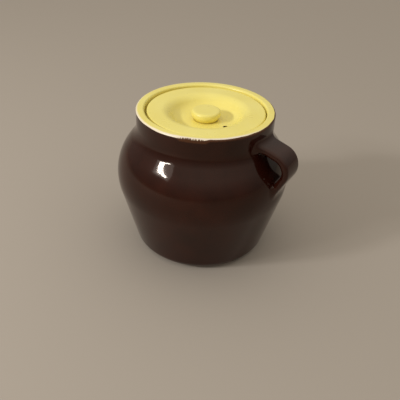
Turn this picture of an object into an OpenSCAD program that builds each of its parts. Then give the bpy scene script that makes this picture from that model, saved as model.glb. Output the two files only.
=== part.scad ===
// Covered stoneware bean pot: a round-bellied jar with one strap handle and a
// sunken lid that lifts off. Millimetres. The centre of the base is the origin,
// +Z is up and the handle stands along +X.

/* [Pot] */
// Largest outer radius, at the belly
belly_r = 90; // [84:0.5:98]
// Height of the largest radius above the base
belly_z = 82.5; // [74:0.5:92]
// Radius of the belly's curve, seen from the side
belly_curve_r = 55.5; // [50:0.5:62]
// Lean of the lower side, in degrees from upright
side_lean = 15.5; // [12:0.5:19]
// Lean of the shoulder, in degrees from upright
shoulder_lean = 35.5; // [32:0.5:40]
// Radius of the heel, where the side turns under the pot
heel_r = 13; // [11:0.5:18]
// Radius of the hollow curve between shoulder and collar
neck_curve_r = 22; // [12:0.5:28]
// Outer radius of the upright collar
collar_r = 69.75; // [64:0.25:74]
// Height of the collar's upright part, from the hollow curve to the top of the rim
collar_h = 16.25; // [12:0.25:22]
// Thickness of the wall, clay and glaze together
wall = 7; // [5.5:0.25:8.5]
// Thickness of the floor, clay and glaze together
floor_t = 8.5; // [6:0.25:11]
// Radius of the curve between floor and wall, inside the pot
inner_heel_r = 16; // [10:0.5:22]

/* [Rim and lid seat] */
// Width of the rim's top, from the collar's outside to the lid's recess
rim_w = 8.5; // [7.5:0.25:10]
// Rounding of the rim's outer edge
rim_edge_r = 2; // [1.25:0.25:3]
// Rounding of the rim's inner edge
seat_edge_r = 2; // [1.5:0.25:4]
// Width of the ledge that carries the lid
ledge_w = 6.5; // [5.5:0.25:8]

/* [Glaze] */
// Thickness of the glaze coats
glaze_t = 0.6; // [0.4:0.1:1]
// Height of the bare clay foot below the outer glaze
bare_foot = 1.2; // [0.6:0.1:2.5]
// How far up the rim's outer edge the two glazes meet, in degrees from its side
glaze_break = 60; // [15:5:75]

/* [Handle] */
// Width of the strap
strap_w = 27; // [20:0.5:32]
// Thickness of the strap
strap_t = 8; // [6.5:0.25:9.5]
// Rounding of the strap's long edges
strap_edge_r = 3; // [1.5:0.25:3]
// How much thicker and wider the strap is in its bend than in its straight arms
bend_swell = 0.1; // [0.1:0.05:1]
// How far the handle reaches out past the belly
handle_reach = 12; // [8:0.5:16]
// Radius of the handle's bend, at the middle of the strap
handle_bend_r = 15.3; // [12:0.1:17]
// Depth of the bend's centre below the top of the rim
handle_drop = 37.5; // [35:0.5:42]
// Fall of the upper arm, in degrees from level
upper_arm_fall = 15; // [10:0.5:20]
// Lean of the lower arm, in degrees from upright
lower_arm_lean = 27; // [22:0.5:32]

/* [Lid] */
// Gap between the lid's edge and the wall of its recess, all round
lid_gap = 1.6; // [1.2:0.1:2.6]
// How far off centre the loose lid lies in that gap
lid_shift = 1; // [0:0.1:1]
// Direction in which it lies off centre, in degrees from the handle
lid_shift_angle = 32; // [-180:1:180]
// Depth of the lid's top below the top of the rim
lid_drop = 2; // [1:0.25:3]
// Thickness of the lid's flat border
lid_border_t = 7; // [5.5:0.25:8]
// Rounding of the lid's edge
lid_edge_r = 1.5; // [0.75:0.25:2.25]
// Radius at which the border starts to fall into the sunken middle
well_brim_r = 45.5; // [42:0.5:48]
// Radius of the sunken middle's flat floor
well_floor_r = 24; // [20:0.5:27]
// Depth of the sunken middle below the border
well_depth = 10; // [8:0.5:12]
// Thickness of the lid under the sunken middle
well_t = 6.5; // [5:0.25:8]
// Radius of the steam vent
vent_r = 2.1; // [1.5:0.1:2.5]
// Distance of the vent from the lid's centre
vent_pitch_r = 25.5; // [20:0.5:36]
// Direction of the vent, in degrees from the handle
vent_angle = -8; // [-180:1:180]

/* [Knob] */
// Largest radius of the knob
knob_r = 14.8; // [12.8:0.2:17]
// Radius of the knob's foot, where it stands on the lid
knob_foot_r = 11.8; // [10:0.2:13.6]
// Height of the knob above the sunken floor
knob_h = 10; // [8:0.5:13]
// Height of the knob's upright edge, with its roundings
knob_band = 7.5; // [5.5:0.25:8.5]
// Rounding of that edge at the top
knob_edge_r = 2.6; // [0.8:0.2:3]
// Rounding of that edge below, where the knob is undercut
knob_under_r = 3.5; // [0.5:0.5:4.5]

/* [Hidden] */

CLAY = [0.76, 0.68, 0.55];
BROWN = [0.27, 0.12, 0.09];
YELLOW = [0.93, 0.86, 0.47];

$fn = 144;
// Angle of one short step along an outline's curve, in degrees
arc_step = 3;
// Overrun of a cutting shape past what it cuts
past = 1;
// How far the clay's lowest node stands up around the floor
floor_lip = 2;

// ---- outline helpers; every outline point is [radius, height]

function polar(a) = [cos(a), sin(a)];
function arc(centre, r, from, to) =
    let (n = ceil(abs(to - from) / arc_step))
    [for (i = [0:n]) centre + r * polar(from + (to - from) * i / n)];
function reversed(list) = [for (i = [len(list) - 1:-1:0]) list[i]];
// An S-shaped slope that joins two level lines, as points from high to low
function slope(high, low) =
    let (run = high[0] - low[0],
         fall = high[1] - low[1],
         r = (run * run + fall * fall) / (4 * fall),
         turn = 2 * atan(fall / run))
    concat(arc(high - [0, r], r, 90, 90 + turn), arc(low + [0, r], r, 270 + turn, 270));

// ---- centres of the pot's curves

belly_c = [belly_r - belly_curve_r, belly_z];
side_n = polar(-side_lean);
shoulder_n = polar(shoulder_lean);
side_reach = side_n * belly_c + belly_curve_r;
shoulder_reach = shoulder_n * belly_c + belly_curve_r;
heel_c = [(side_reach - heel_r + sin(side_lean) * heel_r) / cos(side_lean), heel_r];
inner_heel_z = floor_t + inner_heel_r;
inner_heel_c = [
    (side_reach - wall - inner_heel_r + sin(side_lean) * inner_heel_z) / cos(side_lean),
    inner_heel_z];
neck_r = collar_r + neck_curve_r;
neck_z = (shoulder_reach + neck_curve_r - cos(shoulder_lean) * neck_r) / sin(shoulder_lean);
neck_c = [neck_r, neck_z];

// ---- heights and radii that follow from the sizes above

rim_z = neck_z + collar_h;
rim_edge_c = [collar_r - rim_edge_r, rim_z - rim_edge_r];
seat_edge_c = [collar_r - rim_w + seat_edge_r, rim_z - seat_edge_r];
seat_r = collar_r - rim_w;
throat_r = seat_r - ledge_w;
lid_z = rim_z - lid_drop;
ledge_z = lid_z - lid_border_t;
foot_angle = asin(bare_foot / heel_r - 1);
floor_top_z = floor_t + floor_lip;
neck_low_z = neck_z - neck_curve_r * sin(shoulder_lean);
well_z = lid_z - well_depth;
// Height at which the throat opens out into the shoulder, d inside the clay
function throat_end_z(d) =
    (shoulder_reach - wall + d - cos(shoulder_lean) * (throat_r + d)) / sin(shoulder_lean);

// Outside of the pot from the belly to the glaze break, d below the glaze's face
function upper_side(d) = concat(
    arc(belly_c, belly_curve_r - d, -side_lean, shoulder_lean),
    arc(neck_c, neck_curve_r + d, 180 + shoulder_lean, 180),
    arc(rim_edge_c, rim_edge_r - d, 0, glaze_break));
// The same with the heel, from the bare foot up
function outside(d) =
    concat(arc(heel_c, heel_r - d, foot_angle, -side_lean), upper_side(d));

// From the glaze break over the rim, down the lid's seat and the inside to the
// middle of the floor, d below the glaze's face
function inside(d) = concat(
    arc(rim_edge_c, rim_edge_r - d, glaze_break, 90),
    arc(seat_edge_c, seat_edge_r - d, 90, 180),
    [[seat_r + d, ledge_z - d], [throat_r + d, ledge_z - d], [throat_r + d, throat_end_z(d)]],
    arc(belly_c, belly_curve_r - wall + d, shoulder_lean, -side_lean),
    arc(inner_heel_c, inner_heel_r + d, -side_lean, -90),
    [[0, floor_t - d]]);

// ---- the pot

// The thrown clay is one piece, in three nodes so that each keeps its hollow open
module clay(low, high) {
    color(CLAY)
        intersection() {
            rotate_extrude()
                polygon(concat(
                    [[0, 0]],
                    arc(heel_c, heel_r, -90, foot_angle),
                    outside(glaze_t),
                    inside(glaze_t)));
            translate([0, 0, low])
                cylinder(h = high - low, r = belly_r + past);
        }
}

module pot_floor() clay(-past, floor_top_z);

module pot_body() clay(floor_top_z, neck_low_z);

module pot_neck() clay(neck_low_z, rim_z + past);

module outer_glaze() {
    color(BROWN)
        difference() {
            rotate_extrude()
                polygon(concat(outside(0), reversed(outside(glaze_t))));
            strap();
        }
}

module inner_glaze() {
    color(YELLOW)
        rotate_extrude()
            polygon(concat(inside(0), reversed(inside(glaze_t))));
}

// ---- the handle: two straight arms joined by one bend, in the plane y = 0

bend_x = belly_r + handle_reach - handle_bend_r - (strap_t + bend_swell) / 2;
bend_z = rim_z - handle_drop;
upper_end = 90 - upper_arm_fall;
lower_end = -lower_arm_lean;
// How far inside the bend's end each arm starts
arm_start = 0.5;
// Each arm is long enough to end inside the clay, where the pot cuts it off
upper_arm = (bend_x + handle_bend_r * cos(upper_end) - collar_r + wall) / sin(upper_end);
lower_arm = (bend_x + (handle_bend_r + strap_t / 2) * cos(lower_end) - belly_r + wall / 2)
    / sin(lower_arm_lean);

// The strap's cross-section; its middle lies away from the bend's centre
module strap_section(away, thickness, width) {
    flat_t = thickness - 2 * strap_edge_r;
    flat_w = width - 2 * strap_edge_r;
    translate([away, 0]) {
        square([thickness, flat_w], center = true);
        square([flat_t, width], center = true);
        for (side = [-1, 1], end = [-1, 1])
            translate([side * flat_t / 2, end * flat_w / 2])
                circle(strap_edge_r);
    }
}

// A straight arm that leaves the bend at an angle, starting inside the fuller
// bend; side is 1 for the upper arm and -1 for the lower one
module arm(angle, side, run) {
    rotate([0, 0, angle])
        translate([0, -side * arm_start, 0])
            rotate([-side * 90, 0, 0])
                linear_extrude(run + arm_start)
                    strap_section(handle_bend_r, strap_t, strap_w);
}

module strap() {
    translate([bend_x, 0, bend_z])
        rotate([90, 0, 0]) {
            rotate([0, 0, lower_end])
                rotate_extrude(angle = upper_end - lower_end)
                    strap_section(handle_bend_r, strap_t + bend_swell, strap_w + bend_swell);
            arm(upper_end, 1, upper_arm);
            arm(lower_end, -1, lower_arm);
        }
}

module handle() {
    color(BROWN)
        difference() {
            strap();
            rotate_extrude()
                polygon(concat([[0, heel_r]], upper_side(glaze_t), [[0, rim_edge_c[1]]]));
        }
}

// ---- the lid and its knob

lid_r = seat_r - lid_gap;
// The underside's slope follows the top's, moved out by half the lid's thickness
under_brim_r = well_brim_r + well_t / 2;
under_floor_r = well_floor_r + well_t / 2;

// The loose lid's place in its recess
module in_recess() {
    translate(lid_shift * [cos(lid_shift_angle), sin(lid_shift_angle), 0])
        children();
}

module lid() {
    edge_top = [lid_r - lid_edge_r, lid_z - lid_edge_r];
    edge_low = [lid_r - lid_edge_r, ledge_z + lid_edge_r];
    color(YELLOW)
        in_recess()
            difference() {
                rotate_extrude()
                    polygon(concat(
                        [[0, well_z - well_t]],
                        reversed(slope([under_brim_r, ledge_z], [under_floor_r, well_z - well_t])),
                        arc(edge_low, lid_edge_r, -90, 0),
                        arc(edge_top, lid_edge_r, 0, 90),
                        slope([well_brim_r, lid_z], [well_floor_r, well_z]),
                        [[0, well_z]]));
                rotate([0, 0, vent_angle])
                    translate([vent_pitch_r, 0, well_z - well_t - past])
                        cylinder(h = well_t + well_depth + 2 * past, r = vent_r);
            }
}

module lid_knob() {
    foot = [knob_foot_r, well_z];
    top_c = [knob_r - knob_edge_r, well_z + knob_h - knob_edge_r];
    under_c = [knob_r - knob_under_r, well_z + knob_h - knob_band + knob_under_r];
    // The undercut side runs from the foot straight to a touch on the lower rounding
    reach = under_c - foot;
    touch = atan2(reach[1], reach[0]) + acos(knob_under_r / norm(reach)) - 180;
    color(YELLOW)
        in_recess()
            rotate_extrude()
                polygon(concat(
                    [[0, well_z], foot],
                    arc(under_c, knob_under_r, touch, 0),
                    arc(top_c, knob_edge_r, 0, 90),
                    [[0, well_z + knob_h]]));
}

pot_floor();
pot_body();
pot_neck();
outer_glaze();
inner_glaze();
handle();
lid();
lid_knob();
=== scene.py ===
"""Dresses the covered bean pot: its glazes, its bare clay, and a plain studio.

Sizes are in metres and angles in degrees, in the pot's own frame: the origin is
the centre of the base, +Z is up and the handle stands along +X.
"""
import math

import bmesh
import bpy
import numpy as np
from mathutils import Matrix, Vector, noise


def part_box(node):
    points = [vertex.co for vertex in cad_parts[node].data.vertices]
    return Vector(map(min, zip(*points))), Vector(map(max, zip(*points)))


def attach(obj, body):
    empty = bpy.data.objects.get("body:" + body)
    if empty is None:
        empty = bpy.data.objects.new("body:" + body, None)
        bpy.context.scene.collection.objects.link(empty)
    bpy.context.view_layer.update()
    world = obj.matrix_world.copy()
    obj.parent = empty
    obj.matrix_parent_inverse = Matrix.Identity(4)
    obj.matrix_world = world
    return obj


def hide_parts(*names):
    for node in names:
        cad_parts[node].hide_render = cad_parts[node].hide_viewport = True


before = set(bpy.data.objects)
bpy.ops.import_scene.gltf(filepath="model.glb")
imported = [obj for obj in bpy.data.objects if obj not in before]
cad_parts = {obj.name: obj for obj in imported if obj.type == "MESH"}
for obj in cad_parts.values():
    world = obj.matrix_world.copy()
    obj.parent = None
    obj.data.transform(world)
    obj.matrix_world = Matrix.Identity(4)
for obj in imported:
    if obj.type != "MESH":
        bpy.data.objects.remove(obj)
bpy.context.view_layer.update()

MM = 0.001

# ---- the pot's sizes, as in its construction

BELLY_R = 90 * MM
BELLY_Z = 82.5 * MM
BELLY_CURVE_R = 55.5 * MM
SIDE_LEAN = 15.5
SHOULDER_LEAN = 35.5
HEEL_R = 13 * MM
NECK_CURVE_R = 22 * MM
COLLAR_R = 69.75 * MM
COLLAR_H = 16.25 * MM
WALL = 7 * MM
FLOOR_T = 8.5 * MM
INNER_HEEL_R = 16 * MM
RIM_W = 8.5 * MM
RIM_EDGE_R = 2 * MM
SEAT_EDGE_R = 2 * MM
LEDGE_W = 6.5 * MM
GLAZE_T = 0.6 * MM
BARE_FOOT = 1.2 * MM
# Where the clay's outline passes from the outside to the inside, as an angle up the
# rounding of the rim's outer edge
CLAY_BREAK = 60

RIM_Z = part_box("inner_glaze")[1].z
NECK_Z = RIM_Z - COLLAR_H

# ---- the lid and its knob

LID_GAP = 1.6 * MM
LID_SHIFT = 1 * MM
LID_SHIFT_ANGLE = 32
LID_BORDER_T = 7 * MM
LID_EDGE_R = 1.5 * MM
WELL_BRIM_R = 45.5 * MM
WELL_FLOOR_R = 24 * MM
WELL_DEPTH = 10 * MM
WELL_T = 6.5 * MM
VENT_R = 2.1 * MM
VENT_PITCH_R = 25.5 * MM
VENT_ANGLE = -8
# The rounding of the vent's lips, and how far above the well's floor and the underside
# it touches level
VENT_LIP_R = 0.4 * MM
VENT_TOP_RISE = 0.25 * MM
VENT_LOW_RISE = 0.1 * MM
KNOB_R = 14.8 * MM
KNOB_FOOT_R = 11.8 * MM
KNOB_H = 10 * MM
KNOB_BAND = 7.5 * MM
KNOB_EDGE_R = 2.6 * MM
KNOB_UNDER_R = 3.5 * MM
# How far the knob's foot is sunk in the lid, and the rounding of the glaze round it
KNOB_SINK = 0.4 * MM
KNOB_POOL_R = 0.3 * MM
# The knob's top edge turns this far, so that the top still rises a hair to its middle
KNOB_TOP_END = 88

LID_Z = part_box("lid")[1].z
LEDGE_Z = LID_Z - LID_BORDER_T
WELL_Z = LID_Z - WELL_DEPTH
UNDER_Z = WELL_Z - WELL_T
SEAT_R = COLLAR_R - RIM_W
THROAT_R = SEAT_R - LEDGE_W
LID_R = SEAT_R - LID_GAP
LID_X = LID_SHIFT * math.cos(math.radians(LID_SHIFT_ANGLE))
LID_Y = LID_SHIFT * math.sin(math.radians(LID_SHIFT_ANGLE))
VENT_X = LID_X + VENT_PITCH_R * math.cos(math.radians(VENT_ANGLE))
VENT_Y = LID_Y + VENT_PITCH_R * math.sin(math.radians(VENT_ANGLE))

# ---- the strap handle

HANDLE_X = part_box("handle")[1].x
STRAP_T = 7.6 * MM
STRAP_EDGE_R = 3 * MM
# How much thinner the strap is at its long edges than in its middle, on each face
STRAP_CROWN = 0.35 * MM
# Its widths, from the upper root round the bend to the lower root
UPPER_ROOT_W = 29 * MM
UPPER_W = 28 * MM
BEND_W = 27.5 * MM
LOWER_W = 25.5 * MM
LOWER_ROOT_W = 24 * MM
# Length of arm over which the width changes to the root's
ARM_RUN = 24 * MM
BEND_R = 15.3 * MM
BEND_DROP = 37.5 * MM
UPPER_ARM_FALL = 15
LOWER_ARM_LEAN = 27
BEND_X = HANDLE_X - BEND_R - STRAP_T / 2
BEND_Z = RIM_Z - BEND_DROP
# The bend's ends, as angles from level
UPPER_END = 90 - UPPER_ARM_FALL
LOWER_END = -LOWER_ARM_LEAN
# Sizes of each root's flare above, beside and below the arm
UPPER_FLARE = (5.5 * MM, 9 * MM, 4 * MM)
LOWER_FLARE = (6 * MM, 6 * MM, 4 * MM)
# How far the flare's curve keeps to its ends' directions, as a share of its size, and
# the most of an arm that it may take
FLARE_PULL = 0.62
FLARE_MOST = 0.9
# How far the flare's edge, the ring behind it and the end's middle lie inside the pot
ROOT_SINK = 0.04 * MM
ROOT_DEPTH = 0.5 * MM
ROOT_END_DEPTH = 3 * MM
# No arm is longer than this, and its length is found by halving so often
ARM_REACH = 60 * MM
HALVINGS = 40

# ---- how finely the meshes are made

# Steps once round the pot or the lid, and round the vent
TURNS = 320
VENT_TURNS = 48
# The most degrees between points on an arc: large ones, hidden ones, then small roundings
FINE_STEP = 1.5
COARSE_STEP = 3
SEAT_STEP = 6
EDGE_STEP = 10
POOL_STEP = 12
LIP_STEP = 15
# The longest step on a straight line
STRAIGHT_STEP = 2 * MM
# Numbers of steps
RIM_EDGE_STEPS = 10
STRAP_CORNER_STEPS = 10
STRAP_SIDE_STEPS = 4
STRAP_FACE_STEPS = 14
BEND_STEPS = 36
ARM_STEPS = 6
FLARE_STEPS = 14
# Points closer than this are one point
SAME_POINT = 1e-7

# ---- the hand-worked outside wanders inwards: how far, and its cells per metre

WOBBLE = 0.22 * MM
WOBBLE_PER_M = 17
RIPPLE = 0.035 * MM
RIPPLE_PER_M = 70
# Depth below the rim over which the wandering fades out
CALM = 12 * MM

# ---- how far up the rim's outer edge the two glazes meet, at turns round the pot

BREAK_TURNS = (-180, -78, -58, -54, 90, 140, 180)
BREAK_ANGLES = (14, 14, 26, 66, 72, 30, 14)
# How many degrees that wanders either way, and its cells per metre
BREAK_WANDER = 12
BREAK_PER_M = 120

# ---- the collar stands a little off the belly's axis, to the side where the lid lies

COLLAR_SHIFT = 0.5 * MM
SHIFT_LOW_Z = 118 * MM
SHIFT_HIGH_Z = 137 * MM

# ---- marks in the glazes

# On the rim: the turn that a mark lies at, then how far out that way it starts and is
# full, in shares of the collar's radius
# The pale edge is partly worn glaze and partly painted sheen, full on the window's side and the
# front, fading towards the back
PALE = (-125, -0.65, -0.10)
WIDE = (-48, 0.72, 0.90)
NICKED = (-67, 0.972, 0.984)
# The pale edge, partly worn thin glaze and partly painted sheen: where it starts and is full, in
# from the collar's face, how ragged its limit is and how much wider it is at the wide turn
PALE_START = 1.9 * MM
PALE_FULL = 0.3 * MM
PALE_RAGGED = 1.4 * MM
PALE_WIDER = 1.5 * MM
# The brown teeth at the nicks
TEETH_LENGTH = 2.4 * MM
# The rusty edge: where it starts and is full, down from the rim's top, how ragged its
# limit is and how much lower it reaches at the nicks
RUST_START = 1.6 * MM
RUST_FULL = 0.2 * MM
RUST_RAGGED = 1.6 * MM
RUST_LOWER = 2.2 * MM

# On the lid: the width of the painted shade on the vent's lips, then how far out from the knob's
# foot and up from the well's floor the pooled glaze and painted shade in the crease are full and
# end
VENT_SHADE_W = 0.5 * MM
CREASE_FULL_W = 0.4 * MM
CREASE_END_W = 1.2 * MM
CREASE_FULL_H = 0.6 * MM
CREASE_END_H = 2.4 * MM
# A mark that keeps above a height fades out between these depths below it
FADE_START = 1 * MM
FADE_END = 2 * MM

# Colours
RUST = (0.078, 0.027, 0.010)
# Pale rim edge: worn thin glaze and painted sheen
PALE_WEAR_AND_SHEEN = (0.90, 0.79, 0.60)
TEETH_BROWN = (0.10, 0.040, 0.014)
SPECK_OCHRE = (0.62, 0.46, 0.12)
# Painted shade on the vent's lips
VENT_PAINTED_SHADE = (0.10, 0.055, 0.012)
# Pooled glaze and painted shade in the crease round the knob's foot
POOLED_AND_SHADED_YELLOW = (0.52, 0.39, 0.05)
CLAY_SPECK = (0.16, 0.09, 0.05)

# Nearly all of a noise lies between these
NOISE_SPAN = (0.3, 0.7)


# ---- outlines: arrays of [radius, height]

def polar(degrees):
    """The unit vector at an angle."""
    a = math.radians(degrees)
    return np.array([math.cos(a), math.sin(a)])


def arc_points(centre, r, start, end, count):
    """That many steps along an arc, both ends included."""
    angles = np.radians(np.linspace(start, end, count + 1))
    return np.array(centre) + r * np.stack([np.cos(angles), np.sin(angles)], 1)


def arc(centre, r, start, end, step=FINE_STEP):
    """Points on an arc, at most a step apart."""
    return arc_points(centre, r, start, end, max(1, math.ceil(abs(end - start) / step)))


def line(a, b):
    """Points between a and b, without the ends."""
    a, b = np.array(a), np.array(b)
    count = max(1, math.ceil(np.linalg.norm(b - a) / STRAIGHT_STEP))
    share = np.linspace(0, 1, count + 1)[1:-1, None]
    return a + (b - a) * share


def joined(*stretches):
    """Stretches of an outline, with straight points filled in between them."""
    points = [np.array(stretches[0]).reshape(-1, 2)]
    for stretch in stretches[1:]:
        stretch = np.array(stretch).reshape(-1, 2)
        points.append(line(points[-1][-1], stretch[0]))
        points.append(stretch)
    return np.concatenate(points)


def slope(high, low):
    """An S-shaped slope that joins two level lines, from high to low."""
    run, fall = high[0] - low[0], high[1] - low[1]
    r = (run * run + fall * fall) / (4 * fall)
    turn = math.degrees(2 * math.atan(fall / run))
    down = arc([high[0], high[1] - r], r, 90, 90 + turn)
    return np.concatenate([down, arc([low[0], low[1] + r], r, 270 + turn, 270)[1:]])


BELLY_C = np.array([BELLY_R - BELLY_CURVE_R, BELLY_Z])
SIDE_REACH = polar(-SIDE_LEAN) @ BELLY_C + BELLY_CURVE_R
SHOULDER_REACH = polar(SHOULDER_LEAN) @ BELLY_C + BELLY_CURVE_R
COS_SIDE, SIN_SIDE = polar(SIDE_LEAN)
COS_SHOULDER, SIN_SHOULDER = polar(SHOULDER_LEAN)
HEEL_C = [(SIDE_REACH - HEEL_R + SIN_SIDE * HEEL_R) / COS_SIDE, HEEL_R]
INNER_HEEL_Z = FLOOR_T + INNER_HEEL_R
INNER_HEEL_C = [
    (SIDE_REACH - WALL - INNER_HEEL_R + SIN_SIDE * INNER_HEEL_Z) / COS_SIDE,
    INNER_HEEL_Z,
]
NECK_C = [COLLAR_R + NECK_CURVE_R, NECK_Z]
RIM_EDGE_C = [COLLAR_R - RIM_EDGE_R, RIM_Z - RIM_EDGE_R]
SEAT_EDGE_C = [SEAT_R + SEAT_EDGE_R, RIM_Z - SEAT_EDGE_R]
FOOT_ANGLE = math.degrees(math.asin(BARE_FOOT / HEEL_R - 1))


def throat_end(depth):
    """Height at which the throat opens out under the shoulder."""
    reach = SHOULDER_REACH - WALL + depth
    return (reach - COS_SHOULDER * (THROAT_R + depth)) / SIN_SHOULDER


def rim_edge(depth, start, end):
    """The rim's outer edge; its number of points doesn't depend on the angles."""
    return arc_points(RIM_EDGE_C, RIM_EDGE_R - depth, start, end, RIM_EDGE_STEPS)


def outside(depth, glaze_break, step=FINE_STEP):
    """From the bare foot up to the glaze break, depth below the glaze's face."""
    return joined(
        arc(HEEL_C, HEEL_R - depth, FOOT_ANGLE, -SIDE_LEAN, step),
        arc(BELLY_C, BELLY_CURVE_R - depth, -SIDE_LEAN, SHOULDER_LEAN, step),
        arc(NECK_C, NECK_CURVE_R + depth, 180 + SHOULDER_LEAN, 180, step),
        rim_edge(depth, 0, glaze_break),
    )


def inside(depth, glaze_break):
    """From the glaze break over the rim and down to the middle of the floor."""
    return joined(
        rim_edge(depth, glaze_break, 90),
        arc(SEAT_EDGE_C, SEAT_EDGE_R - depth, 90, 180, SEAT_STEP),
        [[SEAT_R + depth, LEDGE_Z - depth], [THROAT_R + depth, LEDGE_Z - depth]],
        [[THROAT_R + depth, throat_end(depth)]],
        arc(BELLY_C, BELLY_CURVE_R - WALL + depth, SHOULDER_LEAN, -SIDE_LEAN, COARSE_STEP),
        arc(INNER_HEEL_C, INNER_HEEL_R + depth, -SIDE_LEAN, -90, COARSE_STEP),
        [[0, FLOOR_T - depth]],
    )


OUTLINE = outside(0, 90)


def side_radius(z):
    """Nominal outer radius of the pot at a height."""
    return float(np.interp(z, OUTLINE[:, 1], OUTLINE[:, 0]))


# ---- small irregularities of hand-finished clay; each noise has a seed of its own

def wander(point, per_m, seed):
    """Smooth noise from 0 to 1 at a point in space."""
    at = Vector(tuple(point)) * per_m + Vector((seed, 2 * seed, 3 * seed))
    return min(1, max(0, 0.5 + 0.5 * noise.noise(at)))


def dent(point):
    """How far the outside lies below its nominal surface at a point."""
    share = max(0, min(1, (RIM_Z - point[2]) / CALM))
    wobble = WOBBLE * wander(point, WOBBLE_PER_M, 3)
    return (wobble + RIPPLE * wander(point, RIPPLE_PER_M, 9)) * share


def break_angle(turn):
    """Where round the rim's outer edge the two glazes meet, at a turn in radians."""
    at = (COLLAR_R * math.cos(turn), COLLAR_R * math.sin(turn), RIM_Z)
    degrees = (math.degrees(turn) + 180) % 360 - 180
    nominal = float(np.interp(degrees, BREAK_TURNS, BREAK_ANGLES))
    return nominal + BREAK_WANDER * (2 * wander(at, BREAK_PER_M, 5) - 1)


def leaned(point):
    """The point moved aside with the collar, as much as its height asks for."""
    share = min(1, max(0, (point[2] - SHIFT_LOW_Z) / (SHIFT_HIGH_Z - SHIFT_LOW_Z)))
    step = COLLAR_SHIFT * share * share * (3 - 2 * share)
    x, y = step * polar(LID_SHIFT_ANGLE)
    return (point[0] + x, point[1] + y, point[2])


# ---- mesh tools

def add_object(name, data):
    """A new object in the scene."""
    made = bpy.data.objects.new(name, data)
    bpy.context.scene.collection.objects.link(made)
    return made


def clean(mesh):
    """Merges the mesh's doubled points and turns its faces outwards."""
    made = bmesh.new()
    made.from_mesh(mesh)
    bmesh.ops.remove_doubles(made, verts=made.verts, dist=SAME_POINT)
    bmesh.ops.recalc_face_normals(made, faces=made.faces)
    made.to_mesh(mesh)
    made.free()


def smooth(mesh):
    """Shades the mesh smooth."""
    mesh.polygons.foreach_set("use_smooth", [True] * len(mesh.polygons))


def add_piece(name, mesh, body, replaced, material):
    """A smooth piece that stands for CAD nodes and rides on their body."""
    clean(mesh)
    smooth(mesh)
    piece = add_object(name, mesh)
    piece.data.materials.append(material)
    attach(piece, body)
    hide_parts(*replaced)
    return piece


def grid_mesh(name, rings, around, along):
    """A mesh from rows of points. around closes each row, along closes the columns."""
    rows, columns = len(rings), len(rings[0])
    points = np.concatenate(rings)
    faces = []
    for i in range(rows if along else rows - 1):
        for j in range(columns if around else columns - 1):
            k, m = (i + 1) % rows, (j + 1) % columns
            faces.append((i * columns + j, i * columns + m, k * columns + m, k * columns + j))
    mesh = bpy.data.meshes.new(name)
    mesh.from_pydata([tuple(p) for p in points], [], faces)
    return mesh


def turned(name, outline_at, closed, middle=(0, 0), moved=None, turns=TURNS):
    """A mesh turned round an upright axis, from the outline at each turn in radians.

    closed joins the outline's ends, and moved shifts each point.
    """
    rings = []
    for i in range(turns):
        turn = 2 * math.pi * i / turns
        points = []
        for r, z in outline_at(turn):
            point = (r * math.cos(turn), r * math.sin(turn), z)
            if moved:
                point = moved(point)
            points.append((point[0] + middle[0], point[1] + middle[1], point[2]))
        rings.append(np.array(points))
    return grid_mesh(name, rings, closed, True)


# ---- shader nodes; a function's result is a node's output

def new_material(name, rough=0.5, ior=1.5):
    """A Principled material, with its node tree and its shader."""
    material = bpy.data.materials.new(name)
    material.use_nodes = True
    shader = material.node_tree.nodes["Principled BSDF"]
    shader.inputs["Roughness"].default_value = rough
    shader.inputs["IOR"].default_value = ior
    return material, material.node_tree, shader


def node(tree, kind, inputs, output, **settings):
    """One output of a new node. Each input is a plain value or another node's output."""
    made = tree.nodes.new(kind)
    for name, value in settings.items():
        setattr(made, name, value)
    for name, value in inputs.items():
        if isinstance(value, bpy.types.NodeSocket):
            tree.links.new(value, made.inputs[name])
        else:
            made.inputs[name].default_value = value
    return made.outputs[output]


def place(tree, kind="Object"):
    """Where the surface lies, in the object's own coordinates unless kind says otherwise."""
    return node(tree, "ShaderNodeTexCoord", {}, kind)


def height(tree, kind="Object"):
    """The upright part of that place."""
    return node(tree, "ShaderNodeSeparateXYZ", {"Vector": place(tree, kind)}, "Z")


def flat_place(tree, x=0, y=0):
    """Where the surface lies as seen from above, counted from x and y."""
    inputs = {0: place(tree), 1: (1, 1, 0), 2: (-x, -y, 0)}
    return node(tree, "ShaderNodeVectorMath", inputs, "Vector", operation="MULTIPLY_ADD")


def length(tree, vector):
    """A vector's length."""
    return node(tree, "ShaderNodeVectorMath", {0: vector}, "Value", operation="LENGTH")


def cells(tree, scale, detail=3, rough=0.5, where=None):
    """Noise with a number of cells per metre."""
    return node(tree, "ShaderNodeTexNoise", {
        "Vector": place(tree) if where is None else where,
        "Scale": scale,
        "Detail": detail,
        "Roughness": rough,
    }, "Fac")


def worked(tree, operation, *values):
    """The sum or product of numbers and outputs."""
    return node(tree, "ShaderNodeMath", dict(enumerate(values)), "Value", operation=operation)


def ranged(tree, value, low, high, to_low=0, to_high=1):
    """Maps low..high to to_low..to_high, clamped."""
    return node(tree, "ShaderNodeMapRange", {
        "Value": value,
        "From Min": low,
        "From Max": high,
        "To Min": to_low,
        "To Max": to_high,
    }, "Result")


def near(tree, x, y, full, end):
    """1 within the radius full of an upright axis, falling to 0 at the radius end."""
    return ranged(tree, length(tree, flat_place(tree, x, y)), full, end, 1, 0)


def kept_above(tree, z):
    """1 above a height, fading to 0 a little below it."""
    return ranged(tree, height(tree), z - FADE_END, z - FADE_START)


def toward(tree, turn, start, full, most=1):
    """Rises from 0 to most between start and full, out along a turn of the pot.

    start and full are shares of the collar's radius.
    """
    inputs = {0: place(tree), 1: (*polar(turn), 0)}
    out = node(tree, "ShaderNodeVectorMath", inputs, "Value", operation="DOT_PRODUCT")
    return ranged(tree, out, start * COLLAR_R, full * COLLAR_R, 0, most)


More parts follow.
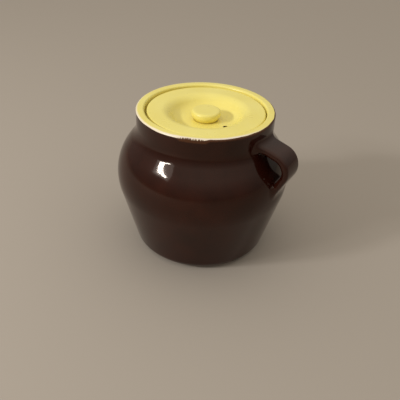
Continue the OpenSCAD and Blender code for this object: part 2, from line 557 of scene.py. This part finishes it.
def ramp(tree, value, stops):
    """A colour ramp from stops of (position, colour)."""
    made = tree.nodes.new("ShaderNodeValToRGB")
    elements = made.color_ramp.elements
    while len(elements) < len(stops):
        elements.new(0.5)
    for element, (at, colour) in zip(elements, stops):
        element.position = at
        element.color = (*colour, 1)
    tree.links.new(value, made.inputs["Fac"])
    return made.outputs["Color"]


def mixed(tree, share, coat, colour):
    """The coat where share is 0, and a plain colour where it is 1."""
    inputs = {"Factor": share, "A": coat, "B": (*colour, 1)}
    return node(tree, "ShaderNodeMix", inputs, "Result", data_type="RGBA")


def set_colour(tree, shader, coat):
    """Gives the shader its colour."""
    tree.links.new(coat, shader.inputs["Base Color"])


def set_roughness(tree, shader, scale, low, high):
    """Makes the shader's roughness vary between low and high, cell by cell."""
    varied = ranged(tree, cells(tree, scale, detail=2), *NOISE_SPAN, low, high)
    tree.links.new(varied, shader.inputs["Roughness"])


def set_bump(tree, shader, grain, distance, strength):
    """Bumps the shader's surface by a grain."""
    inputs = {"Height": grain, "Distance": distance, "Strength": strength}
    tree.links.new(node(tree, "ShaderNodeBump", inputs, "Normal"), shader.inputs["Normal"])


# ---- materials

def rusty(tree, coat):
    """The brown coat, thin and rusty along the rim and lower down at the nicks."""
    grain = cells(tree, 520, rough=0.7)
    ragged = worked(tree, "MULTIPLY_ADD", grain, RUST_RAGGED, height(tree))
    raised = worked(tree, "ADD", ragged, toward(tree, *NICKED, RUST_LOWER))
    thin = ranged(tree, raised, RIM_Z - RUST_START, RIM_Z - RUST_FULL)
    return mixed(tree, thin, coat, RUST)


def brown_glaze():
    """Glossy dark red-brown glaze."""
    material, tree, shader = new_material("brown_glaze", rough=0.09, ior=1.42)
    shader.inputs["Specular Tint"].default_value = (1, 0.87, 0.76, 1)
    coat = ramp(tree, cells(tree, 28, detail=4, rough=0.6), (
        (0.30, (0.016, 0.0032, 0.0016)),
        (0.55, (0.024, 0.0048, 0.0024)),
        (0.75, (0.033, 0.0066, 0.0031)),
    ))
    set_colour(tree, shader, rusty(tree, coat))
    set_roughness(tree, shader, 60, low=0.06, high=0.13)
    set_bump(tree, shader, cells(tree, 420, detail=2), distance=0.02 * MM, strength=0.35)
    return material


def worn_and_sheened(tree, coat):
    """The yellow coat, pale over the rim's outer edge: partly worn thin glaze, partly painted
    sheen on the window's side.
    """
    radius = length(tree, flat_place(tree))
    grain = cells(tree, 170, rough=0.6)
    ragged = worked(tree, "MULTIPLY_ADD", grain, PALE_RAGGED, radius)
    widened = worked(tree, "ADD", ragged, toward(tree, *WIDE, PALE_WIDER))
    outer = ranged(tree, widened, COLLAR_R - PALE_START, COLLAR_R - PALE_FULL)
    share = worked(tree, "MULTIPLY", outer, toward(tree, *PALE))
    return mixed(tree, share, coat, PALE_WEAR_AND_SHEEN)


def nicked(tree, coat):
    """The yellow coat, with brown teeth that taper from the rim's outer edge inwards."""
    flat = flat_place(tree)
    way = node(tree, "ShaderNodeVectorMath", {0: flat}, "Vector", operation="NORMALIZE")
    # Noise by turn alone makes stripes, and the taper narrows each one inwards
    stripes = cells(tree, 60, detail=1, where=way)
    taper = ranged(tree, length(tree, flat), COLLAR_R - TEETH_LENGTH, COLLAR_R, -0.2, 0.14)
    teeth = ranged(tree, worked(tree, "ADD", stripes, taper), 0.42, 0.56)
    share = worked(tree, "MULTIPLY", teeth, toward(tree, *NICKED))
    return mixed(tree, share, coat, TEETH_BROWN)


def speckled(tree, coat):
    """The yellow coat, with a few small darker specks."""
    share = ranged(tree, cells(tree, 900, detail=1, rough=0.4), 0.78, 0.86, 0, 0.6)
    return mixed(tree, share, coat, SPECK_OCHRE)


def vent_shaded(tree, coat):
    """The yellow coat, with painted shade on the lips round the vent."""
    lips = near(tree, VENT_X, VENT_Y, VENT_R, VENT_R + VENT_SHADE_W)
    share = worked(tree, "MULTIPLY", lips, kept_above(tree, UNDER_Z))
    return mixed(tree, share, coat, VENT_PAINTED_SHADE)


def pooled_and_shaded(tree, coat):
    """The yellow coat, darker in the crease round the knob's foot: partly pooled glaze, partly
    painted shade.
    """
    foot = near(tree, LID_X, LID_Y, KNOB_FOOT_R + CREASE_FULL_W, KNOB_FOOT_R + CREASE_END_W)
    low = ranged(tree, height(tree), WELL_Z + CREASE_FULL_H, WELL_Z + CREASE_END_H, 1, 0)
    crease = worked(tree, "MULTIPLY", foot, low)
    share = worked(tree, "MULTIPLY", crease, kept_above(tree, WELL_Z))
    return mixed(tree, share, coat, POOLED_AND_SHADED_YELLOW)


def yellow_glaze():
    """Satin soft yellow glaze."""
    material, tree, shader = new_material("yellow_glaze", rough=0.3)
    coat = ramp(tree, cells(tree, 22), (
        (0.30, (0.85, 0.717, 0.172)),
        (0.50, (0.88, 0.759, 0.198)),
        (0.70, (0.90, 0.790, 0.230)),
    ))
    for mark in (worn_and_sheened, nicked, speckled, vent_shaded, pooled_and_shaded):
        coat = mark(tree, coat)
    set_colour(tree, shader, coat)
    set_roughness(tree, shader, 70, low=0.26, high=0.36)
    set_bump(tree, shader, cells(tree, 300, detail=2), distance=0.02 * MM, strength=0.3)
    return material


def bare_clay():
    """Matte buff stoneware with a sandy grain."""
    material, tree, shader = new_material("bare_clay", rough=0.86)
    coat = ramp(tree, cells(tree, 45, detail=5, rough=0.65), (
        (0.30, (0.44, 0.33, 0.21)),
        (0.55, (0.54, 0.42, 0.28)),
        (0.75, (0.62, 0.50, 0.35)),
    ))
    specks = ranged(tree, cells(tree, 1100, detail=1, rough=0.4), 0.70, 0.76)
    set_colour(tree, shader, mixed(tree, specks, coat, CLAY_SPECK))
    grain = cells(tree, 1400, detail=4, rough=0.7)
    set_bump(tree, shader, grain, distance=0.12 * MM, strength=0.5)
    return material


# ---- the pot

def coat_section(face):
    """The section of a glaze coat at each turn, from the outline of its face."""
    def section(turn):
        angle = break_angle(turn)
        return np.concatenate([face(0, angle), face(GLAZE_T, angle)[::-1]])
    return section


def dented(point):
    """The point on the outside moved in by the clay's dents, and aside with the collar."""
    shrink = 1 - dent(point) / math.hypot(point[0], point[1])
    return leaned((point[0] * shrink, point[1] * shrink, point[2]))


def make_outer_glaze(material):
    """The brown coat: a thin shell from the bare foot to the rim."""
    mesh = turned("outer_coat", coat_section(outside), True, moved=dented)
    add_piece("outer_coat", mesh, "pot", ("outer_glaze",), material)


def make_inner_glaze(material):
    """The yellow coat: rim, lid seat and inside."""
    mesh = turned("inner_coat", coat_section(inside), True, moved=leaned)
    add_piece("inner_coat", mesh, "pot", ("inner_glaze",), material)


def make_clay(material):
    """The thrown clay body behind the coats, bare only under the foot."""
    outline = joined(
        [[0, 0]],
        arc(HEEL_C, HEEL_R, -90, FOOT_ANGLE),
        outside(GLAZE_T, CLAY_BREAK, COARSE_STEP),
        inside(GLAZE_T, CLAY_BREAK),
    )
    mesh = turned("clay_body", lambda turn: outline, False, moved=leaned)
    replaced = ("pot_floor", "pot_body", "pot_neck")
    add_piece("clay_body", mesh, "pot", replaced, material)


# ---- the handle, swept along an arm, a bend and an arm in the plane y = 0

def strap_outline():
    """Points round the section as (thickness share, width share, the outline's normal).

    The shares, from -1 to 1, are of the section without its rounded corners.
    """
    points = []
    for quarter in range(4):
        side = 1 if quarter in (0, 3) else -1
        end = 1 if quarter in (0, 1) else -1
        for a in np.linspace(90 * quarter, 90 * quarter + 90, STRAP_CORNER_STEPS + 1):
            points.append((side, end, *polar(a)))
        if quarter in (0, 2):
            for share in np.linspace(1, -1, STRAP_SIDE_STEPS + 1)[1:-1]:
                points.append((side * share, end, 0, end))
        else:
            for share in np.linspace(1, -1, STRAP_FACE_STEPS + 1)[1:-1]:
                points.append((side, end * share, side, 0))
    return np.array(points)


STRAP = strap_outline()


def strap_points(width):
    """The section's points as (out, across) for a strap of that width."""
    across = STRAP[:, 1] * (width / 2 - STRAP_EDGE_R) + STRAP[:, 3] * STRAP_EDGE_R
    out = STRAP[:, 0] * (STRAP_T / 2 - STRAP_EDGE_R) + STRAP[:, 2] * STRAP_EDGE_R
    sunk = STRAP_CROWN * (2 * across / width) ** 2
    return out * (1 - 2 * sunk / STRAP_T), across


def bend_ring(angle, width):
    """The strap's section on the bend, at an angle from level."""
    out, across = strap_points(width)
    direction = polar(angle)
    centre = np.array([BEND_X, BEND_Z]) + BEND_R * direction
    flat = centre + out[:, None] * direction
    return np.stack([flat[:, 0], across, flat[:, 1]], 1)


def pot_radius(point):
    """The pot's outer radius at a point's height and turn, dents and all."""
    return side_radius(point[2]) - dent(point)


def on_pot(point, lift):
    """The point moved level onto the pot's surface, lift above it."""
    grow = (pot_radius(point) + lift) / math.hypot(point[0], point[1])
    return np.array([point[0] * grow, point[1] * grow, point[2]])


def unit(vector):
    """The vector at length 1."""
    return vector / np.linalg.norm(vector)


def pot_normal(point):
    """The pot's outward normal near a point."""
    rise = 0.2 * MM
    tilt = (side_radius(point[2] + rise) - side_radius(point[2] - rise)) / (2 * rise)
    flat = math.hypot(point[0], point[1])
    return unit(np.array([point[0] / flat, point[1] / flat, -tilt]))


def along_pot(point, way):
    """The part of a direction that runs along the pot's surface, at length 1."""
    normal = pot_normal(point)
    return unit(way - (way @ normal) * normal)


def meet_pot(start, way):
    """Distance along a line from outside the pot to its surface, found by halving."""
    short, long = 0.0, ARM_REACH
    for _ in range(HALVINGS):
        middle = (short + long) / 2
        point = start + middle * way
        if math.hypot(point[0], point[1]) > pot_radius(point):
            short = middle
        else:
            long = middle
    return short


def root_rings(end_angle, direction, width, root_width, flare_sizes):
    """Rings of an arm from the bend's end to a flared root on the pot."""
    outward = polar(end_angle)
    spread = (root_width / width - 1) / ARM_RUN
    curves = []
    for point, (_, _, out, across) in zip(bend_ring(end_angle, width), STRAP):
        way = unit(np.array([direction[0], point[1] * spread, direction[1]]))
        run = meet_pot(point, way)
        corner = point + run * way
        above, beside, below = flare_sizes
        size = (above if out > 0 else below) * out * out + beside * across * across
        flare = np.array([out * outward[0], across, out * outward[1]])
        before = corner - min(size, FLARE_MOST * run) * way
        after = on_pot(corner + size * along_pot(corner, flare), -ROOT_SINK)
        curves.append((
            point,
            before,
            before + FLARE_PULL * (corner - before),
            after - FLARE_PULL * size * along_pot(after, flare),
            after,
        ))
    rings = []
    for share in np.linspace(0, 1, ARM_STEPS + 1)[1:]:
        rings.append(np.array([a + (b - a) * share for a, b, *_ in curves]))
    for t in np.linspace(0, 1, FLARE_STEPS + 1)[1:]:
        u = 1 - t
        rings.append(np.array([
            u ** 3 * b + 3 * u * u * t * c + 3 * u * t * t * d + t ** 3 * e
            for _, b, c, d, e in curves]))
    rings.append(np.array([e - ROOT_DEPTH * pot_normal(e) for *_, e in curves]))
    return rings


def bend_rings():
    """Rings of the bend, from its upper end to its lower end."""
    rings = []
    for share in np.linspace(0, 1, BEND_STEPS + 1):
        angle = UPPER_END + (LOWER_END - UPPER_END) * share
        rings.append(bend_ring(angle, np.interp(share, (0, 0.5, 1), (UPPER_W, BEND_W, LOWER_W))))
    return rings


def close_ends(mesh, columns):
    """Closes the mesh's first and last rings with a fan each, inside the pot."""
    made = bmesh.new()
    made.from_mesh(mesh)
    made.verts.ensure_lookup_table()
    for ring in (made.verts[:columns], made.verts[-columns:]):
        middle = sum((v.co for v in ring), Vector()) / columns
        centre = made.verts.new(on_pot(middle, -ROOT_END_DEPTH))
        for i in range(columns):
            made.faces.new((ring[i], ring[(i + 1) % columns], centre))
    made.to_mesh(mesh)
    made.free()


def make_handle(material):
    """The strap handle, with roots that flow into the pot."""
    upper = root_rings(UPPER_END, polar(UPPER_END + 90), UPPER_W, UPPER_ROOT_W, UPPER_FLARE)
    lower = root_rings(LOWER_END, polar(LOWER_END - 90), LOWER_W, LOWER_ROOT_W, LOWER_FLARE)
    rings = upper[::-1] + bend_rings() + lower
    leaned_rings = [np.array([leaned(point) for point in ring]) for ring in rings]
    mesh = grid_mesh("strap_handle", leaned_rings, True, False)
    close_ends(mesh, len(STRAP))
    add_piece("strap_handle", mesh, "pot", ("handle",), material)


# ---- the lid

def lid_outline():
    """The lid's section from the middle of the underside round to the top's middle."""
    edge_r = LID_R - LID_EDGE_R
    return joined(
        [[0, UNDER_Z]],
        slope([WELL_BRIM_R + WELL_T / 2, LEDGE_Z], [WELL_FLOOR_R + WELL_T / 2, UNDER_Z])[::-1],
        arc([edge_r, LEDGE_Z + LID_EDGE_R], LID_EDGE_R, -90, 0, EDGE_STEP),
        arc([edge_r, LID_Z - LID_EDGE_R], LID_EDGE_R, 0, 90, EDGE_STEP),
        slope([WELL_BRIM_R, LID_Z], [WELL_FLOOR_R, WELL_Z]),
        [[0, WELL_Z]],
    )


def make_vent_cutter():
    """A pin with flared ends, which leaves a hole with rounded lips."""
    low, top = UNDER_Z + VENT_LOW_RISE, WELL_Z + VENT_TOP_RISE
    past = 3 * MM
    flare_r = VENT_R + VENT_LIP_R
    outline = np.concatenate([
        [[0, low - past], [flare_r, low - past]],
        arc([flare_r, low + VENT_LIP_R], VENT_LIP_R, 270, 180, LIP_STEP),
        arc([flare_r, top - VENT_LIP_R], VENT_LIP_R, 180, 90, LIP_STEP),
        [[flare_r, top + past], [0, top + past]],
    ])
    middle = (VENT_X, VENT_Y)
    mesh = turned("vent_cutter", lambda turn: outline, False, middle, turns=VENT_TURNS)
    clean(mesh)
    return add_object("vent_cutter", mesh)


def make_lid(material):
    """The sunken lid with its steam vent."""
    outline = lid_outline()
    mesh = turned("sunken_lid", lambda turn: outline, False, (LID_X, LID_Y))
    piece = add_piece("sunken_lid", mesh, "lid", ("lid",), material)
    cutter = make_vent_cutter()
    cut = piece.modifiers.new("vent", "BOOLEAN")
    cut.operation = "DIFFERENCE"
    cut.solver = "EXACT"
    cut.object = cutter
    bpy.context.view_layer.update()
    solid = bpy.data.meshes.new_from_object(
        piece.evaluated_get(bpy.context.evaluated_depsgraph_get()))
    piece.modifiers.clear()
    piece.data = solid
    smooth(solid)
    bpy.data.objects.remove(cutter)


def knob_outline():
    """The knob's section from its sunk foot round to the middle of its top."""
    foot = np.array([KNOB_FOOT_R, WELL_Z])
    pool_r = KNOB_FOOT_R + KNOB_POOL_R
    top_c = [KNOB_R - KNOB_EDGE_R, WELL_Z + KNOB_H - KNOB_EDGE_R]
    under_c = np.array([KNOB_R - KNOB_UNDER_R, WELL_Z + KNOB_H - KNOB_BAND + KNOB_UNDER_R])
    # The undercut side runs from the foot straight to a touch on the lower rounding
    reach = under_c - foot
    far = np.linalg.norm(reach)
    touch = math.degrees(math.atan2(reach[1], reach[0]) + math.acos(KNOB_UNDER_R / far)) - 180
    return joined(
        [[0, WELL_Z - KNOB_SINK], [pool_r, WELL_Z - KNOB_SINK]],
        arc([pool_r, WELL_Z + KNOB_POOL_R], KNOB_POOL_R, 270, 180 + touch, POOL_STEP),
        arc(under_c, KNOB_UNDER_R, touch, 0, EDGE_STEP),
        arc(top_c, KNOB_EDGE_R, 0, KNOB_TOP_END, EDGE_STEP),
        [[0, WELL_Z + KNOB_H]],
    )


def make_knob(material):
    """The low button knob."""
    outline = knob_outline()
    mesh = turned("button_knob", lambda turn: outline, False, (LID_X, LID_Y))
    add_piece("button_knob", mesh, "lid", ("lid_knob",), material)


# ---- studio

# The camera's turn round the pot from -Y towards +X, its distance from the pot's axis and
# its height above the base; then how it is aimed, and its lens
VIEW_TURN = 32
VIEW_BACK = 0.4877
VIEW_UP = 0.3687
VIEW_PITCH = 33.905
VIEW_YAW = 0.16
VIEW_ROLL = 2.49
LENS_MM = 47.43
SENSOR_MM = 36

# The window's turn, clockwise from straight behind the pot as seen from above, its angle
# above level, its distance from the pot and the height that it faces
WINDOW_HEADING = -117
WINDOW_HEIGHT = 31
WINDOW_FAR = 1.5
WINDOW_AIM_Z = 0.75 * RIM_Z
# Name, place sideways and up, size and power of each pane
WINDOW_PANES = (
    ("window", -0.040, -0.045, (0.165, 0.080), 7.0),
    ("window_side", 0.175, -0.062, (0.21, 0.065), 3.2),
    ("window_glow", 0.08, -0.04, (0.65, 0.32), 1.0),
)

# Half the floor's width, and how far it lies below the base
FLOOR_HALF = 12
FLOOR_DROP = 0.05 * MM


def add_camera():
    """The camera at the photograph's viewing angle."""
    turn = math.radians(VIEW_TURN)
    data = bpy.data.cameras.new("camera")
    data.lens = LENS_MM
    data.sensor_width = SENSOR_MM
    camera = add_object("camera", data)
    aim = (
        Matrix.Rotation(turn + math.radians(VIEW_YAW), 4, "Z")
        @ Matrix.Rotation(math.radians(90 - VIEW_PITCH), 4, "X")
        @ Matrix.Rotation(math.radians(VIEW_ROLL), 4, "Z")
    )
    stand = Vector((VIEW_BACK * math.sin(turn), -VIEW_BACK * math.cos(turn), VIEW_UP))
    camera.matrix_world = Matrix.Translation(stand) @ aim
    bpy.context.scene.camera = camera


def add_window():
    """The window: flat lamps side by side in one plane that faces the pot."""
    across, behind = polar(VIEW_TURN - WINDOW_HEADING)[::-1]
    level, rise = polar(WINDOW_HEIGHT)
    way = Vector((-across * level, behind * level, rise))
    aim = way.to_track_quat("Z", "Y").to_matrix().to_4x4()
    middle = Vector((0, 0, WINDOW_AIM_Z)) + way * WINDOW_FAR
    for name, side, up, size, power in WINDOW_PANES:
        data = bpy.data.lights.new(name, "AREA")
        data.shape = "RECTANGLE"
        data.size, data.size_y = size
        data.energy = power
        shift = Matrix.Translation((side, up, 0))
        add_object(name, data).matrix_world = Matrix.Translation(middle) @ aim @ shift


def add_floor():
    """A plain pale floor."""
    mesh = bpy.data.meshes.new("floor")
    signs = ((-1, -1), (1, -1), (1, 1), (-1, 1))
    corners = [(x * FLOOR_HALF, y * FLOOR_HALF, 0) for x, y in signs]
    mesh.from_pydata(corners, [], [(0, 1, 2, 3)])
    floor = add_object("floor", mesh)
    floor.location.z = -FLOOR_DROP
    material, _, shader = new_material("floor", rough=0.7)
    shader.inputs["Base Color"].default_value = (0.40, 0.350, 0.295, 1)
    shader.inputs["Specular IOR Level"].default_value = 0.2
    floor.data.materials.append(material)


def add_world():
    """Soft light from all round, stronger from above."""
    world = bpy.data.worlds.new("world")
    world.use_nodes = True
    tree = world.node_tree
    sky = tree.nodes["Background"]
    light = ramp(tree, height(tree, "Generated"), (
        (0.0, (0.23, 0.205, 0.175)),
        (0.3, (0.38, 0.352, 0.315)),
        (1.0, (0.98, 0.93, 0.85)),
    ))
    tree.links.new(light, sky.inputs["Color"])
    sky.inputs["Strength"].default_value = 1
    bpy.context.scene.world = world


def add_studio():
    """Camera, floor and lights."""
    add_camera()
    add_floor()
    add_world()
    add_window()
    bpy.context.scene.view_settings.view_transform = "Standard"


def dress():
    """Every visible piece of the pot."""
    brown, yellow, clay = brown_glaze(), yellow_glaze(), bare_clay()
    make_outer_glaze(brown)
    make_inner_glaze(yellow)
    make_handle(brown)
    make_lid(yellow)
    make_knob(yellow)
    make_clay(clay)


add_studio()
dress()
